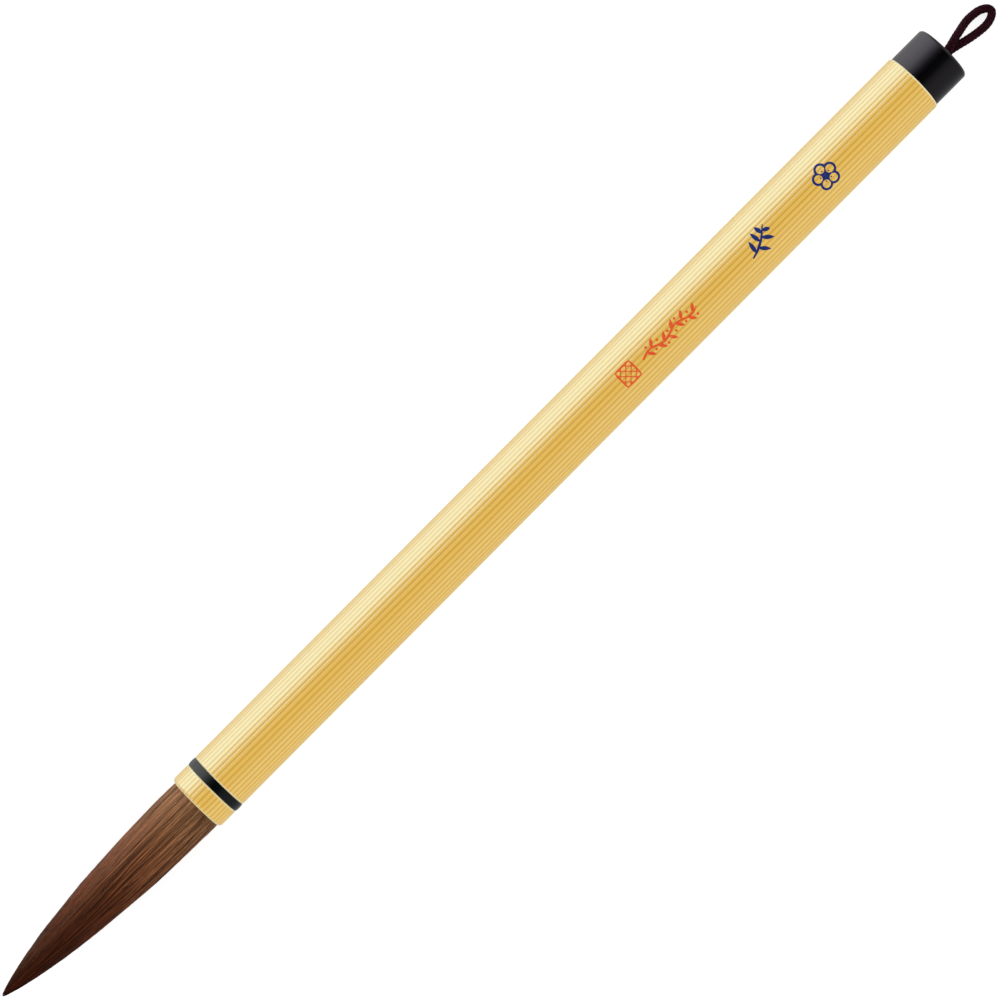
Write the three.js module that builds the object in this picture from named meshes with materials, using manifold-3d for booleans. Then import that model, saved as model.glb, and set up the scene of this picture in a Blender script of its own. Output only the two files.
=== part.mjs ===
// A calligraphy brush lying on a table. Millimetres, +X from the hair's tip to the cap, +Z up,
// and z = 0 is the table, which a rib of the handle rests on along its whole length.
//
// The ribbed plastic handle is hollow. Its front end takes the spigot of the ferrule collar, with the
// black ring held between the two, and the hair bundle is bound and glued in the collar's socket. Its back
// end takes the stem of the cap, which holds the knot of the hanging cord. The hair outside the collar
// bends sideways about a point a little in front of the lip, and the cord's loop swings about the cap's hole.
import * as THREE from "three";
import { mergeVertices } from "three/addons/utils/BufferGeometryUtils.js";
import Module from "manifold-3d";

const wasm = await Module();
wasm.setup();

// Stations along X.
const TIP_X = -120;
const LIP_X = -71.2; // mouth of the collar, where the hair comes out
const RING_X = -67;
const TUBE_X = -65.25;
const CAP_X = 112.25;
const END_X = 120;
const BEND_X = -79.7; // where the hair bends

// Ribbed handle.
const HANDLE_R = 6; // to the flat crests of the ribs
const RIBS = 42;
const RIB_DEPTH = 0.15;
const CREST_WIDTH = 0.5;
const BORE_R = 4.7;
const COUNTERBORE_R = 5.4;
const COUNTERBORE_LENGTH = 11;

// Collar, ring and hair root.
const LIP_ROUND = 0.9;
const SPIGOT_R = 5.35;
const SPIGOT_END_X = -55.4;
const RING_GAP = 0.05; // between the ring and the spigot through it
const MOUTH_R = 5.45;
const SOCKET_R = 4.8;
const ROOT_GAP = 0.15; // between the hair and the socket
const BOUND_R = 4.25; // hair under the binding thread
const BOUND_X = -62.2;
const THREAD_R = 0.18;
const THREAD_GAP = 0.08; // between the thread and the hair
const THREAD_X = -61.2;
const THREAD_TURNS = 6;
const THREAD_PITCH = 0.4;
const ROOT_END_X = -57;
const SEAL_GAP = 0.1;
const SEAL_THICKNESS = 0.9;
const SEAL_CHAMFER = 0.4;

// Hair outside the collar.
const HAIR_R = 5.35;
const HAIR_FULLNESS = 2; // how soon the taper reaches the full radius
const HAIR_POINT = 0.71; // how sharp the point is: 1 is a cone, 0.5 a blunt round end
const COAT_THICKNESS = 1;
const COAT_EDGE = 0.2; // its thickness where it ends
const COAT_END = 5; // the coat stops this far short of the tip
const BALL_R = 4.9; // end of the fixed root, round the bend
const CUP_R = 5.25; // hollow in the moving hair that clears the ball
const COAT_START = 2.5; // the coat starts this far in front of the bend
const HAIR_GAP = 0.12; // between the core and the coat

// Cap and cord.
const CAP_R = 5.75;
const CAP_ROUND = 0.7;
const STEM_R = 4.65;
const STEM_LENGTH = 8;
const CORD_HOLE_R = 1.7;
const KNOT_ROOM_R = 2.9;
const KNOT_ROOM_X = 116.6; // where the wide bore stops and the cord hole starts
const CORD_R = 0.675;
const CORD_Y = -0.37; // the cord leaves the hole a little to one side
const KNOT_R = 2.2;
const KNOT_X = 113.6;
const KNOT_GAP = 0.1; // between the knot and the strands drawn from it

const TURN_SIDES = 42; // sides of a turned piece
const HAIR_SIDES = 36;
const CORD_SIDES = 8;
const LOOP_STEPS = 32;

const plastic = (color, roughness) => new THREE.MeshStandardMaterial({ color, roughness, metalness: 0 });
const MATERIALS = {
  handle: plastic(0xeec15f, 0.35),
  cap: plastic(0x232124, 0.2),
  ring: plastic(0x16191b, 0.4),
  rosin: plastic(0x5a3216, 0.5),
  hairCoat: plastic(0x5f3d27, 0.75),
  hairCore: plastic(0x6e4a30, 0.8),
  thread: plastic(0xd8ccb0, 0.9),
  cord: plastic(0x3a0c16, 0.85),
};

// A point of a turned profile: distance from the axis and station along it.
const at = (radius, x) => new THREE.Vector2(radius, x);

// Points on an arc of a profile, angles in degrees from the radial direction towards +X.
function arc(centreR, centreX, radius, from, to, steps) {
  return Array.from({ length: steps + 1 }, (_, i) => {
    const angle = THREE.MathUtils.degToRad(from + ((to - from) * i) / steps);
    return at(centreR + radius * Math.cos(angle), centreX + radius * Math.sin(angle));
  });
}

// A solid of revolution about X. A profile with a bore is closed by repeating its first point.
function turned(profile, sides = TURN_SIDES) {
  return new THREE.LatheGeometry(profile, sides).rotateZ(-Math.PI / 2);
}

// A solid with one section along X, between two stations. The section's x axis points down.
function extruded(shape, fromX, toX) {
  const options = { depth: toX - fromX, bevelEnabled: false, curveSegments: 6 };
  return new THREE.ExtrudeGeometry(shape, options).rotateY(Math.PI / 2).translate(fromX, 0, 0);
}

// The corners of a regular polygon.
function polygon(radius, sides) {
  return Array.from({ length: sides }, (_, i) => {
    const angle = (2 * Math.PI * i) / sides;
    return new THREE.Vector2(radius * Math.cos(angle), radius * Math.sin(angle));
  });
}

// A round tube along a curve.
function swept(curve, radius, sides, steps) {
  const section = new THREE.Shape(polygon(radius, sides));
  return new THREE.ExtrudeGeometry(section, { steps, extrudePath: curve, bevelEnabled: false });
}

function solidOf(geometry) {
  const bare = geometry.clone().deleteAttribute("normal").deleteAttribute("uv");
  const merged = mergeVertices(bare, 1e-4);
  return new wasm.Manifold(
    new wasm.Mesh({
      numProp: 3,
      vertProperties: new Float32Array(merged.attributes.position.array),
      triVerts: new Uint32Array(merged.index.array),
    }),
  );
}

function geometryOf(solid) {
  const mesh = solid.getMesh();
  const geometry = new THREE.BufferGeometry();
  geometry.setAttribute("position", new THREE.BufferAttribute(mesh.vertProperties, 3));
  geometry.setIndex(new THREE.BufferAttribute(mesh.triVerts, 1));
  geometry.computeVertexNormals();
  return geometry;
}

// The handle's section: flat crests with a V groove between each two, and one crest straight down.
function ribbedOutline() {
  const points = [];
  for (let rib = 0; rib < RIBS; rib += 1) {
    const centre = (2 * Math.PI * rib) / RIBS;
    const valley = centre + Math.PI / RIBS;
    const axis = new THREE.Vector2(Math.cos(centre), Math.sin(centre));
    const along = new THREE.Vector2(-axis.y, axis.x);
    const crest = axis.clone().multiplyScalar(HANDLE_R);
    points.push(crest.clone().addScaledVector(along, -CREST_WIDTH / 2));
    points.push(crest.clone().addScaledVector(along, CREST_WIDTH / 2));
    points.push(new THREE.Vector2(Math.cos(valley), Math.sin(valley)).multiplyScalar(HANDLE_R - RIB_DEPTH));
  }
  return new THREE.Shape(points);
}

function handleTube() {
  const section = ribbedOutline();
  section.holes.push(new THREE.Path(polygon(BORE_R, TURN_SIDES)));
  const front = [at(0, TUBE_X - 1), at(COUNTERBORE_R, TUBE_X - 1)];
  const back = [at(COUNTERBORE_R, TUBE_X + COUNTERBORE_LENGTH), at(0, TUBE_X + COUNTERBORE_LENGTH)];
  const tube = solidOf(extruded(section, TUBE_X, CAP_X));
  return geometryOf(tube.subtract(solidOf(turned([...front, ...back]))));
}

// Cut from the same ribbed stock as the handle, with a smooth rounded lip and a spigot for the handle.
function ferruleCollar() {
  const beyond = HANDLE_R + 1;
  const lip = arc(HANDLE_R - LIP_ROUND, LIP_X + LIP_ROUND, LIP_ROUND, -90, 0, 5);
  const lastOfLip = LIP_X + LIP_ROUND;
  const stock = solidOf(extruded(ribbedOutline(), LIP_X, RING_X));
  const clear = [at(beyond, lastOfLip + 0.5), at(beyond, TUBE_X), at(0, TUBE_X)];
  const envelope = turned([at(0, LIP_X), ...lip, ...clear]);
  const spigotEnd = [at(SPIGOT_R, SPIGOT_END_X), at(0, SPIGOT_END_X)];
  const spigot = turned([at(0, lastOfLip), at(SPIGOT_R, lastOfLip), ...spigotEnd]);
  const flare = (MOUTH_R - SOCKET_R) / (RING_X - LIP_X);
  const socket = turned([
    at(0, LIP_X - 1),
    at(MOUTH_R + flare, LIP_X - 1),
    at(SOCKET_R, RING_X),
    at(SOCKET_R, SPIGOT_END_X + 1),
    at(0, SPIGOT_END_X + 1),
  ]);
  return geometryOf(stock.intersect(solidOf(envelope)).add(solidOf(spigot)).subtract(solidOf(socket)));
}

function ringBand() {
  const inner = SPIGOT_R + RING_GAP;
  const start = at(inner, RING_X);
  return turned([start, at(HANDLE_R, RING_X), at(HANDLE_R, TUBE_X), at(inner, TUBE_X), start]);
}

// A knob with a rounded edge, a stem that plugs the handle, and a bore that narrows to the cord's hole.
function endCap() {
  const start = at(CORD_HOLE_R, KNOT_ROOM_X);
  return turned([
    start,
    at(KNOT_ROOM_R, KNOT_ROOM_X),
    at(KNOT_ROOM_R, CAP_X - STEM_LENGTH),
    at(STEM_R, CAP_X - STEM_LENGTH),
    at(STEM_R, CAP_X),
    at(CAP_R, CAP_X),
    ...arc(CAP_R - CAP_ROUND, END_X - CAP_ROUND, CAP_ROUND, 0, 90, 4),
    at(CORD_HOLE_R, END_X),
    start,
  ]);
}

// Radius of the dressed hair at a station.
function hairRadius(x) {
  const reach = (x - TIP_X) / (LIP_X - TIP_X);
  return HAIR_R * (1 - (1 - reach) ** HAIR_FULLNESS) ** HAIR_POINT;
}

// Points of the hair's outline between two stations, each moved in by an inset.
function hairOutline(fromX, toX, inset, steps) {
  return Array.from({ length: steps + 1 }, (_, i) => {
    const x = fromX + ((toX - fromX) * i) / steps;
    return at(Math.max(hairRadius(x) - inset(x), 0), x);
  });
}

// How thick the coat is at a station: full at its start and a thin edge at its end.
function coatThickness(x) {
  const along = (x - TIP_X - COAT_END) / (BEND_X - TIP_X - COAT_END);
  return THREE.MathUtils.lerp(COAT_EDGE, COAT_THICKNESS, Math.sqrt(along));
}

// Where the cup's hollow reaches a radius.
const cupX = (radius) => BEND_X - Math.sqrt(CUP_R ** 2 - radius ** 2);

function hairRoot() {
  return turned(
    [
      ...arc(0, BEND_X, BALL_R, -90, 0, 6),
      at(MOUTH_R - ROOT_GAP, LIP_X),
      at(SOCKET_R - ROOT_GAP, RING_X),
      at(BOUND_R, BOUND_X),
      at(BOUND_R, ROOT_END_X),
      at(0, ROOT_END_X),
    ],
    HAIR_SIDES,
  );
}

function rootThread() {
  const steps = THREAD_TURNS * 18;
  const radius = BOUND_R + THREAD_GAP + THREAD_R;
  const points = Array.from({ length: steps + 1 }, (_, i) => {
    const turns = (THREAD_TURNS * i) / steps;
    const angle = 2 * Math.PI * turns;
    const x = THREAD_X + turns * THREAD_PITCH;
    return new THREE.Vector3(x, radius * Math.cos(angle), radius * Math.sin(angle));
  });
  return swept(new THREE.CatmullRomCurve3(points), THREAD_R, 6, steps);
}

function rootSeal() {
  const fromX = ROOT_END_X + SEAL_GAP;
  const toX = fromX + SEAL_THICKNESS;
  const rim = [at(BOUND_R, fromX), at(BOUND_R, toX - SEAL_CHAMFER), at(BOUND_R - SEAL_CHAMFER, toX)];
  return turned([at(0, fromX), ...rim, at(0, toX)]);
}

// The long springy hairs that make the point.
function hairCore() {
  const coatEndX = TIP_X + COAT_END;
  const point = hairOutline(TIP_X, coatEndX - 2 * HAIR_GAP, () => 0, 3);
  const insideCoat = (x) => coatThickness(x) + HAIR_GAP;
  const rim = hairRadius(BEND_X - CUP_R) - COAT_THICKNESS - HAIR_GAP;
  const body = hairOutline(coatEndX, cupX(rim), insideCoat, 12).slice(0, -1);
  const rimAngle = THREE.MathUtils.radToDeg(Math.acos(rim / CUP_R));
  return turned([...point, ...body, ...arc(0, BEND_X, CUP_R, -rimAngle, -90, 5)], HAIR_SIDES);
}

// The thin coat of fine hair wrapped round the core.
function hairCoat() {
  const startX = BEND_X - COAT_START;
  const outside = hairOutline(TIP_X + COAT_END, startX, () => 0, 12);
  const rim = Math.sqrt(CUP_R ** 2 - COAT_START ** 2);
  const innerX = cupX(hairRadius(BEND_X - CUP_R) - COAT_THICKNESS);
  const inside = hairOutline(innerX, TIP_X + COAT_END, coatThickness, 12);
  return turned([...outside, at(rim, startX), ...inside, outside[0]], HAIR_SIDES);
}

// The loop leaves the hole as two strands, one above the other. They turn to lie side by side, open into
// a narrow eye and droop to the table. Each row is x, y and z of the strand's centre. The loop swings
// sideways about x = 120.9, just outside the cap, so it starts clear of the cap and its hole.
const LOOP_ROUTE = [
  [121.05, -0.16, 6.7],
  [122.2, 0.1, 6.43],
  [123.36, 0.38, 5.86],
  [124.54, 0.6, 5.1],
  [125.94, 0.88, 4.1],
  [127.44, 1.08, 3.08],
  [128.93, 1.04, 2.16],
  [130.3, 0.84, 1.48],
  [131.22, 0.48, 1.08],
  [131.81, 0.07, 0.9],
  [132.11, -0.43, 0.86],
  [132.06, -0.93, 0.87],
  [131.58, -1.38, 0.98],
  [130.66, -1.78, 1.27],
  [129.3, -1.98, 1.86],
  [127.68, -1.88, 2.66],
  [126.12, -1.66, 3.5],
  [124.67, -1.38, 4.2],
  [123.51, -1.1, 4.7],
  [122.39, -0.84, 5.03],
  [121.24, -0.61, 5.24],
];

function hangingLoop() {
  const points = LOOP_ROUTE.map(([x, y, z]) => new THREE.Vector3(x, y, z - HANDLE_R));
  return swept(new THREE.CatmullRomCurve3(points), CORD_R, CORD_SIDES, LOOP_STEPS);
}

// The two strands side by side in the cap's hole, as one round-ended section.
function cordTails() {
  const section = new THREE.Shape();
  section.absarc(-CORD_R, CORD_Y, CORD_R, Math.PI / 2, (3 * Math.PI) / 2, false);
  section.absarc(CORD_R, CORD_Y, CORD_R, -Math.PI / 2, Math.PI / 2, false);
  return extruded(section, KNOT_X + KNOT_R + KNOT_GAP, END_X);
}

function cordKnot() {
  return new THREE.SphereGeometry(KNOT_R, 14, 10).translate(KNOT_X, 0, 0);
}

function piece(name, geometry, material) {
  const mesh = new THREE.Mesh(geometry, material);
  mesh.name = name;
  return mesh;
}

const handle = new THREE.Group();
handle.add(
  piece("handle_tube", handleTube(), MATERIALS.handle),
  piece("ferrule_collar", ferruleCollar(), MATERIALS.handle),
  piece("ring_band", ringBand(), MATERIALS.ring),
  piece("end_cap", endCap(), MATERIALS.cap),
  piece("hair_root", hairRoot(), MATERIALS.hairCore),
  piece("root_thread", rootThread(), MATERIALS.thread),
  piece("root_seal", rootSeal(), MATERIALS.rosin),
  piece("cord_tails", cordTails(), MATERIALS.cord),
  piece("cord_knot", cordKnot(), MATERIALS.cord),
);

const tuft = new THREE.Group();
tuft.add(
  piece("hair_core", hairCore(), MATERIALS.hairCore),
  piece("hair_coat", hairCoat(), MATERIALS.hairCoat),
);

const loop = new THREE.Group();
loop.add(piece("hanging_loop", hangingLoop(), MATERIALS.cord));

// Every group lies on the brush's axis, one handle radius above the table.
const brush = new THREE.Group();
brush.add(handle, tuft, loop);
brush.position.z = HANDLE_R;

export default brush;
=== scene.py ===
"""Looks of a calligraphy brush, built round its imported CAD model.

The brush lies along X with its tip at -X, on a pale table at z = 0. Lengths below are millimetres times MM.
Angles round the brush run from +Y towards +Z, so the top of the handle is at a quarter turn.
"""
import math

import bpy
import numpy as np
from mathutils import Matrix, Vector


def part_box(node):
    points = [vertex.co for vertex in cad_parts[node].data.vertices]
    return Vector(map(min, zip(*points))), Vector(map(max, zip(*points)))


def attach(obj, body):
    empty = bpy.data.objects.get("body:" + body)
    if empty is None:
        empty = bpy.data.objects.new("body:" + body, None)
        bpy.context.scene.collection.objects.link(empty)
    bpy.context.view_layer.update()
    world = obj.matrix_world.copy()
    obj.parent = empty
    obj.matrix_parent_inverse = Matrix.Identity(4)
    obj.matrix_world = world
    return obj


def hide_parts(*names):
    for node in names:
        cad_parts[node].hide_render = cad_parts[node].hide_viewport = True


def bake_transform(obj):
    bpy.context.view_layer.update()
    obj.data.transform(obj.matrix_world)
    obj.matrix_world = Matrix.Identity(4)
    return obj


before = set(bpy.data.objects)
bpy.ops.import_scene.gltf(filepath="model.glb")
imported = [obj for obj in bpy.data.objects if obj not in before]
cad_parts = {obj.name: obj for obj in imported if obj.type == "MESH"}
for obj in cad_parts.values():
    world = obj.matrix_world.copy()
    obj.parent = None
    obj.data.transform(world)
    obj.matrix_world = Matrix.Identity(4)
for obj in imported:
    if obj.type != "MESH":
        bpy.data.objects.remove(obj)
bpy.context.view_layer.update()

MM = 0.001

# Places and sizes from the CAD model.
TUBE_LOW, TUBE_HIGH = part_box("handle_tube")
RING_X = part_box("ring_band")[0].x
AXIS_Z = (TUBE_LOW.z + TUBE_HIGH.z) / 2
HANDLE_R = (TUBE_HIGH.z - TUBE_LOW.z) / 2
TIP_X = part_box("hair_core")[0].x
LIP_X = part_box("ferrule_collar")[0].x
SPIGOT_END_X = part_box("ferrule_collar")[1].x
TUBE_X = TUBE_LOW.x
CAP_X = TUBE_HIGH.x
STEM_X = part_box("end_cap")[0].x
END_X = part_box("end_cap")[1].x
CAP_R = (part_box("end_cap")[1].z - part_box("end_cap")[0].z) / 2
ROOT_END_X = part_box("hair_root")[1].x
BOUND_R = (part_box("root_seal")[1].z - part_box("root_seal")[0].z) / 2
TAILS_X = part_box("cord_tails")[0].x
KNOT_LOW, KNOT_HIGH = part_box("cord_knot")

# Ribs of the handle and the collar.
RIBS = 42
RIB_DEPTH = 0.045 * MM
RIB_SHARPNESS = 2.2  # 1 makes crests and grooves alike, more makes the crests broader
RIB_SAMPLES = 14
RIB_SHADE = 0.45  # how much the darkest rib can differ from the palest
TWIST = math.radians(8.1)  # of the ribs, from one end of the handle to the other
STRAIGHT_X = -9.5 * MM  # where a crest is right at the top
CHAMFER_LENGTH = 0.3 * MM
CHAMFER_DROP = 0.17 * MM
RIM = 0.36 * MM  # how far the painted highlight along each end of a ribbed piece reaches
# how much pale cream the painted highlight at each end mixes in
RIM_HIGHLIGHT = 0.85

# Hollows, and what plugs them.
BORE_R = 4.7 * MM
COUNTERBORE_R = 5.4 * MM
COUNTERBORE_LENGTH = 11 * MM
SPIGOT_R = 5.35 * MM
SOCKET_R = 4.8 * MM
MOUTH_R = 5.45 * MM
LIP_ROUND = 0.9 * MM
STEM_R = 4.65 * MM
PLUG_CHAMFER = 0.3 * MM  # of the spigot and the stem
CAP_ROUND = 0.7 * MM
CORD_HOLE_R = 1.7 * MM
KNOT_ROOM_R = 2.9 * MM
KNOT_ROOM_X = 116.6 * MM
RING_GAP = 0.05 * MM  # between the ring and the spigot through it
RING_CROWN = 0.07 * MM  # how far the ring's middle stands out past the handle

# The tuft as a whole.
HAIR_R = 5.35 * MM
HAIR_FULLNESS = 2  # more makes the tuft reach its full radius sooner
HAIR_POINT = 0.71  # how sharp the point is: 1 is a cone and 0.5 is round
HAIR_ROOT_SIDE = -0.06 * MM
HAIR_LEAN = 0.33 * MM  # how far the tip stands to one side of the root
LEAN_CURVE = 0.55  # 1 leans evenly, less leans sooner
BOUND_X = -62.2 * MM  # from here back the root is as slim as its binding
ROOT_SLIMMING = 0.15 * MM  # of the tuft where it enters the collar
SOCKET_CLEARANCE = 0.1 * MM  # that the hair keeps inside the collar
LOCK_DEPTH = 0.09 * MM  # of the fine locks in the tuft's outside
LOCK_FADE_R = 3 * MM  # where the tuft is slimmer than this, its locks are shallower

# The solid mass of hair.
BUNDLE_SIDES = 240
BUNDLE_TIP_GAP = 0.4 * MM  # how far short of the tip it ends
BUNDLE_INSET = 0.25 * MM  # how far under the tuft's outside it is
BUNDLE_INSET_SHARE = 0.3  # the most that the inset can be of the tuft's radius

# Separate hairs.
STRAND_STEPS = 17
STRAND_ROOT = 1.6 * MM  # how far into the collar they reach
STRAND_WANDER = 0.17 * MM  # of each hair on its own
STRAND_SWAY = 0.28 * MM  # of neighbours together
STRAND_FADE_R = 1.2 * MM  # where the tuft is slimmer than this, hairs wander less and lie nearer its outside
LEAST_REACH = 0.6 * MM  # the least radius at which a move to the side is turned into an angle
HAIR_SPREAD = 0.14 * MM  # of the hair tips at the very point
SPREAD_LENGTH = 1.5 * MM  # how soon the spread ends, away from the point
HAIR_ROUNDNESS = 0.55  # how much a hair is lit as a thread of its own, beside the tuft as a whole

# Cord.
CORD_R = 0.675 * MM
CORD_Y = -0.37 * MM
ROUTE = [  # x, y, z of the cord's middle outside the cap, in mm
    (121.05, -0.16, 6.7),
    (122.2, 0.1, 6.43),
    (123.36, 0.38, 5.86),
    (124.54, 0.6, 5.1),
    (125.94, 0.88, 4.1),
    (127.44, 1.08, 3.08),
    (128.93, 1.04, 2.16),
    (130.3, 0.84, 1.48),
    (131.22, 0.48, 1.08),
    (131.81, 0.07, 0.9),
    (132.11, -0.43, 0.86),
    (132.06, -0.93, 0.87),
    (131.58, -1.38, 0.98),
    (130.66, -1.78, 1.27),
    (129.3, -1.98, 1.86),
    (127.68, -1.88, 2.66),
    (126.12, -1.66, 3.5),
    (124.67, -1.38, 4.2),
    (123.51, -1.1, 4.7),
    (122.39, -0.84, 5.03),
    (121.24, -0.61, 5.24),
]
# The same in the cap's hole, with y from CORD_Y, on the way out and on the way back.
ROUTE_OUT = [(TAILS_X / MM, 0, 6.74), (118, 0.08, 6.76), (120, 0.16, 6.77)]
ROUTE_BACK = [(120, -0.16, 5.23), (118, -0.08, 5.24), (TAILS_X / MM, 0, 5.26)]
ROUTE_STEP = 0.1 * MM

# Its braid. Radii, widths and the pitch are shares of the cord's radius.
YARNS = 4  # each way
PITCH = 5.2
CORE_R = 0.94
YARN_MIDDLE = 0.98
YARN_RISE = 0.05  # where one yarn crosses over another
YARN_HALF_WIDTH = 0.5
YARN_FLATNESS = 0.32  # a yarn's thickness as a share of its width


# ---------------------------------------------------------------- camera, table and light


CAMERA_PLACE = Vector((-12.42, -0.23, 989.6)) * MM
CAMERA_TARGET = Vector((6.19, -0.23, 6)) * MM
CAMERA_TURN = math.radians(45.15)  # of the picture's upright from +Y towards +X
CAMERA_LENS = 196.7
TABLE_HALF = 6  # metres
TABLE_Z = -0.08 * MM  # just under the ring, the lowest place of the brush
TABLE_GLOW = 0.8


def camera():
    """Nearly straight above, from about a metre, with the brush running up to the right."""
    back = (CAMERA_PLACE - CAMERA_TARGET).normalized()
    up = Vector((math.sin(CAMERA_TURN), math.cos(CAMERA_TURN), 0))
    up = (up - back * up.dot(back)).normalized()
    right = up.cross(back)
    data = bpy.data.cameras.new("camera")
    data.lens = CAMERA_LENS
    data.clip_start = 0.01
    data.clip_end = 100
    cam = bpy.data.objects.new("camera", data)
    bpy.context.scene.collection.objects.link(cam)
    turned_to_target = Matrix((right, up, back)).transposed().to_4x4()
    cam.matrix_world = Matrix.Translation(CAMERA_PLACE) @ turned_to_target
    bpy.context.scene.camera = cam


def table_top():
    corners = [(-1, -1), (1, -1), (1, 1), (-1, 1)]
    points = [(x * TABLE_HALF, y * TABLE_HALF, TABLE_Z) for x, y in corners]
    obj = piece("table_top", points, [(0, 1, 2, 3)])
    glow = {"Emission_Color": (1, 1, 1, 1), "Emission_Strength": TABLE_GLOW}
    mat, _ = material("table", (0.3, 0.3, 0.3), 0.6, **glow)
    obj.data.materials.append(mat)
    obj.visible_glossy = False


def soft_lamp(name, place, size, power):
    """A broad lamp for soft light only. Gloss comes from the room."""
    place = Vector(place)
    data = bpy.data.lights.new(name, "AREA")
    data.size = size
    data.energy = power
    obj = bpy.data.objects.new(name, data)
    bpy.context.scene.collection.objects.link(obj)
    obj.location = place
    obj.rotation_mode = "QUATERNION"
    obj.rotation_quaternion = place.to_track_quat("Z", "X")
    obj.visible_camera = False
    obj.visible_glossy = False


# What gloss reflects, by direction round the X axis in degrees from straight up towards +Y.
ROOM_BAND = [
    (-180, 0.2),
    (-150, 0.15),
    (-122, 0.15),
    (-90, 0.15),
    (-60, 0.16),
    (-38, 0.11),
    (-22, 0.02),
    (0, 0.002),
    (9, 0.03),
    (20, 0.11),
    (36, 0.44),
    (54, 0.88),
    (75, 1.0),
    (96, 0.88),
    (120, 0.5),
    (150, 0.2),
    (180, 0.2),
]
ROOM_BAND_LIGHT = 2.8
ROOM_END_GREY = (0.22, 0.22, 0.22, 1)  # of the walls that the brush points at
ROOM_END_FROM, ROOM_END_TO = 0.45, 0.75  # the X of a direction where the band gives way to them
ROOM_LIGHT = 0.95


def room():
    """A white room for the eye and for soft light.

    Gloss sees a long window at +Y, a dark strip straight above and pale walls.
    """
    world = bpy.data.worlds.new("room")
    bpy.context.scene.world = world
    world.use_nodes = True
    world.cycles.sampling_method = "NONE"  # so that gloss only meets what its own rays find
    n = Nodes(world)
    n.nodes.clear()
    direction = n.add("SeparateXYZ")
    n.feed(direction.inputs[0], n.add("TexCoord").outputs["Generated"])
    turn = n.math("ARCTAN2", direction.outputs["Y"], direction.outputs["Z"])
    stops = [(degrees / 360 + 0.5, (grey, grey, grey)) for degrees, grey in ROOM_BAND]
    band = n.ramp(n.math("ADD", n.math("DIVIDE", turn, math.tau), 0.5), stops)
    along_x = n.math("ABSOLUTE", direction.outputs["X"])
    to_an_end = n.spread(along_x, 0.0, 1.0, ROOM_END_FROM, ROOM_END_TO)
    both = n.add("MixShader")
    n.feed(both.inputs[0], n.add("LightPath").outputs["Is Glossy Ray"])
    n.feed(both.inputs[1], n.background((1, 1, 1, 1), ROOM_LIGHT))
    n.feed(both.inputs[2], n.background(n.mix(to_an_end, band, ROOM_END_GREY), ROOM_BAND_LIGHT))
    n.feed(n.add("OutputWorld").inputs[0], both.outputs[0])


# ---------------------------------------------------------------- mesh and material helpers


def piece(name, points, faces, **values):
    """A mesh object. values are named numbers, one for each point, that its material can read."""
    mesh = bpy.data.meshes.new(name)
    mesh.from_pydata(np.asarray(points, float).tolist(), [], [tuple(f) for f in faces])
    mesh.validate()
    for key, numbers in values.items():
        attribute = mesh.attributes.new(key, "FLOAT", "POINT")
        attribute.data.foreach_set("value", np.asarray(numbers, np.float32).ravel())
    obj = bpy.data.objects.new(name, mesh)
    bpy.context.scene.collection.objects.link(obj)
    return obj


def smooth(obj, sharp_degrees=40):
    """Smooth shading, apart from edges that turn by more than an angle."""
    mesh = obj.data
    mesh.polygons.foreach_set("use_smooth", [True] * len(mesh.polygons))
    mesh.set_sharp_from_angle(angle=math.radians(sharp_degrees))
    return obj


def grid_faces(rows, columns, wrap_rows=False):
    """Quads of a grid whose points are stored row by row, each row a closed ring."""
    r = np.arange(rows if wrap_rows else rows - 1)[:, None]
    c = np.arange(columns)[None, :]
    r1, c1 = (r + 1) % rows, (c + 1) % columns
    quads = np.stack([r * columns + c, r * columns + c1, r1 * columns + c1, r1 * columns + c], axis=-1)
    return quads.reshape(-1, 4)


def capped(rings):
    """Points and faces of a tube with both ends closed."""
    rows, sides = rings.shape[:2]
    faces = [tuple(f) for f in grid_faces(rows, sides)]
    faces.append(tuple(range(sides))[::-1])
    faces.append(tuple((rows - 1) * sides + i for i in range(sides)))
    return rings.reshape(-1, 3), faces


def on_axis(radius, angle, x):
    """Points at a distance and an angle round the brush's axis."""
    x = np.broadcast_to(x, np.broadcast(radius, angle, x).shape)
    return np.stack([x, radius * np.cos(angle), AXIS_Z + radius * np.sin(angle)], axis=-1)


def turned(name, profile, sides=160):
    """A piece turned about the brush's axis from a closed profile of (x, radius) points."""
    x, radius = np.array(profile, float).T
    angle = np.arange(sides) * math.tau / sides
    points = on_axis(radius[:, None], angle[None, :], x[:, None]).reshape(-1, 3)
    return smooth(piece(name, points, grid_faces(len(profile), sides, wrap_rows=True)))


def arc(x, radius, size, start, end, steps):
    """Points of a profile's rounded edge, angles in degrees from outward towards +X."""
    angles = np.radians(np.linspace(start, end, steps + 1))
    return [(x + size * math.sin(a), radius + size * math.cos(a)) for a in angles]


def material(name, colour, roughness, **inputs):
    """A new material and its shader, with the constant values set on the shader's own sockets."""
    mat = bpy.data.materials.new(name)
    mat.use_nodes = True
    shader = mat.node_tree.nodes["Principled BSDF"]
    shader.inputs["Base Color"].default_value = (*colour, 1)
    shader.inputs["Roughness"].default_value = roughness
    for key, value in inputs.items():
        shader.inputs[key.replace("_", " ")].default_value = value
    return mat, shader


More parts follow.
